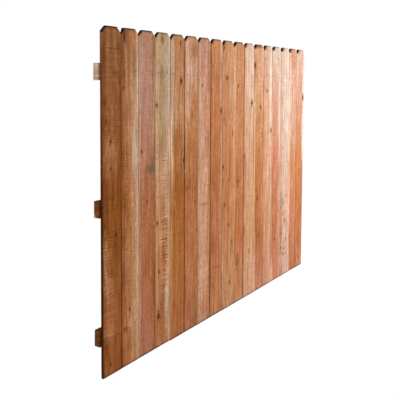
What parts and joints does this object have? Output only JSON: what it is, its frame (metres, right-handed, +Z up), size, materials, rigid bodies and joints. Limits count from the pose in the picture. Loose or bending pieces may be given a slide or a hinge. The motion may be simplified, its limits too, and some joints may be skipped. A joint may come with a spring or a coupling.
{
  "type": "dog ear wood fence panel",
  "caption": "Flat fence panel of upright sawn boards with clipped top corners, nailed side by side to horizontal rails behind them.",
  "frame": {"origin": "middle of the panel's footprint, level with the longest picket's foot", "axes": "+X along the rails, from the picture's left end to its right end; +Y from the picket side to the rail side; +Z up the pickets"},
  "size_m": [2.4384, 0.0554, 1.8288],
  "materials": {
    "picket_wood": "rough sawn, unfinished softwood",
    "rail_wood": "rough sawn, unfinished softwood",
    "nail_steel": "dull bright wire, lightly weathered"
  },
  "bodies": {
    "root": {"picket_01": "picket_wood", "picket_02": "picket_wood", "picket_03": "picket_wood", "picket_04": "picket_wood", "picket_05": "picket_wood", "picket_06": "picket_wood", "picket_07": "picket_wood", "picket_08": "picket_wood", "picket_09": "picket_wood", "picket_10": "picket_wood", "picket_11": "picket_wood", "picket_12": "picket_wood", "picket_13": "picket_wood", "picket_14": "picket_wood", "picket_15": "picket_wood", "picket_16": "picket_wood", "picket_17": "picket_wood", "rail_top": "rail_wood", "rail_middle": "rail_wood", "rail_bottom": "rail_wood", "nails_top": "nail_steel", "nails_middle": "nail_steel", "nails_bottom": "nail_steel"}
  },
  "joints": []
}
